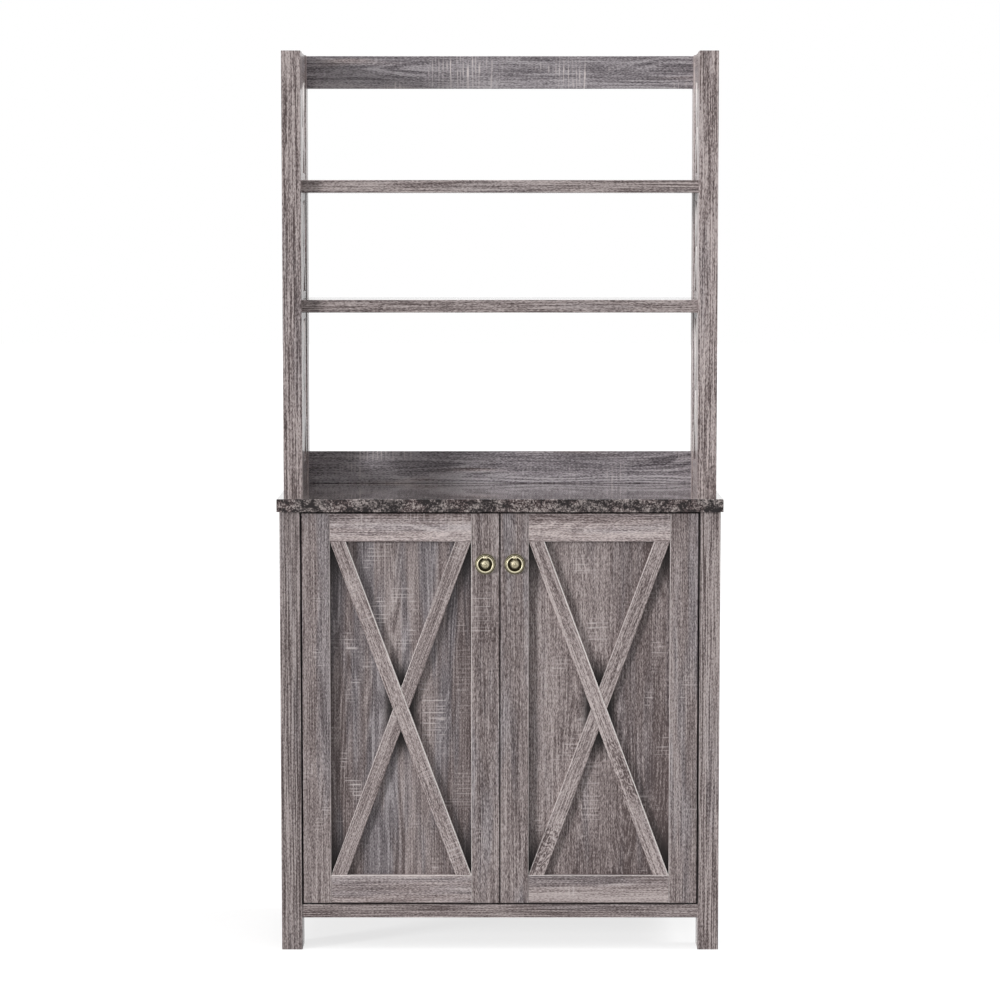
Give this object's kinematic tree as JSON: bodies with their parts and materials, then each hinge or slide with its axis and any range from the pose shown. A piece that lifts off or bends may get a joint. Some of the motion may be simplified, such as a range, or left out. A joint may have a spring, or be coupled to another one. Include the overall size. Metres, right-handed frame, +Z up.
{
  "type": "bakers rack",
  "caption": "Farmhouse bakers rack: a cabinet with framed X-brace doors and ring pulls under a speckled countertop, with an open shelved hutch and X-braced sides above.",
  "frame": {"origin": "on the floor, under the middle of the countertop, which is the rack's footprint", "axes": "+X to the viewer's right along the width, -Y towards the front and the doors, +Z up"},
  "size_m": [0.9, 0.4, 1.827],
  "materials": {
    "oak_laminate": "grey silver-oak laminate with fine dark and pale grain streaks, satin",
    "granite_laminate": "dark brown and black speckled granite-pattern laminate on board, glossy",
    "antique_brass": "antiqued brass, satin with worn bright edges",
    "zinc_steel": "zinc plated",
    "black_plastic": "matt moulded",
    "beech": "plain turned beech",
    "hardboard": "thin fibreboard with a grey printed face"
  },
  "bodies": {
    "rack": {"adjustable_shelf": "oak_laminate", "backsplash": "oak_laminate", "bottom_front_rail": "oak_laminate", "bottom_panel": "oak_laminate", "cabinet_back_panel": "hardboard", "catch_magnets": "zinc_steel", "countertop": "granite_laminate", "countertop_dowels": "beech", "left_front_leg": "oak_laminate", "left_front_post": "oak_laminate", "left_hutch_side_rails": "oak_laminate", "left_lower_cross_braces": "oak_laminate", "left_middle_cross_braces": "oak_laminate", "left_rear_leg": "oak_laminate", "left_rear_post": "oak_laminate", "left_side_panel": "oak_laminate", "left_upper_cross_braces": "oak_laminate", "lower_shelf": "oak_laminate", "magnetic_catch": "black_plastic", "pivot_bushes": "black_plastic", "right_front_leg": "oak_laminate", "right_front_post": "oak_laminate", "right_hutch_side_rails": "oak_laminate", "right_lower_cross_braces": "oak_laminate", "right_middle_cross_braces": "oak_laminate", "right_rear_leg": "oak_laminate", "right_rear_post": "oak_laminate", "right_side_panel": "oak_laminate", "right_upper_cross_braces": "oak_laminate", "shelf_bolts": "zinc_steel", "shelf_cams": "zinc_steel", "shelf_pins": "zinc_steel", "top_back_rail": "oak_laminate", "top_front_stretcher": "oak_laminate", "top_rear_stretcher": "oak_laminate", "upper_shelf": "oak_laminate"},
    "left_door": {"left_door_bottom_rail": "oak_laminate", "left_door_hinge_stile": "oak_laminate", "left_door_latch_stile": "oak_laminate", "left_door_long_brace": "oak_laminate", "left_door_panel": "oak_laminate", "left_door_pivot_pins": "zinc_steel", "left_door_short_braces": "oak_laminate", "left_door_top_rail": "oak_laminate", "left_pull_rosette": "antique_brass", "left_pull_screw": "zinc_steel", "left_strike_plate": "zinc_steel"},
    "right_door": {"right_door_bottom_rail": "oak_laminate", "right_door_hinge_stile": "oak_laminate", "right_door_latch_stile": "oak_laminate", "right_door_long_brace": "oak_laminate", "right_door_panel": "oak_laminate", "right_door_pivot_pins": "zinc_steel", "right_door_short_braces": "oak_laminate", "right_door_top_rail": "oak_laminate", "right_pull_rosette": "antique_brass", "right_pull_screw": "zinc_steel", "right_strike_plate": "zinc_steel"},
    "left_ring": {"left_pull_ring": "antique_brass"},
    "right_ring": {"right_pull_ring": "antique_brass"}
  },
  "joints": [
    {"name": "left_door_hinge", "type": "hinge", "parent": "rack", "child": "left_door", "pos_m": [-0.3875, -0.181, 0.495], "axis": [0, 0, -1], "range_deg": [0, 110]},
    {"name": "left_ring_pivot", "type": "hinge", "parent": "left_door", "child": "left_ring", "pos_m": [-0.02975, -0.1955, 0.80582], "axis": [-1, 0, 0], "range_deg": [0, 175]},
    {"name": "right_door_hinge", "type": "hinge", "parent": "rack", "child": "right_door", "pos_m": [0.3875, -0.181, 0.495], "axis": [0, 0, 1], "range_deg": [0, 110]},
    {"name": "right_ring_pivot", "type": "hinge", "parent": "right_door", "child": "right_ring", "pos_m": [0.02975, -0.1955, 0.80582], "axis": [-1, 0, 0], "range_deg": [0, 175]}
  ]
}
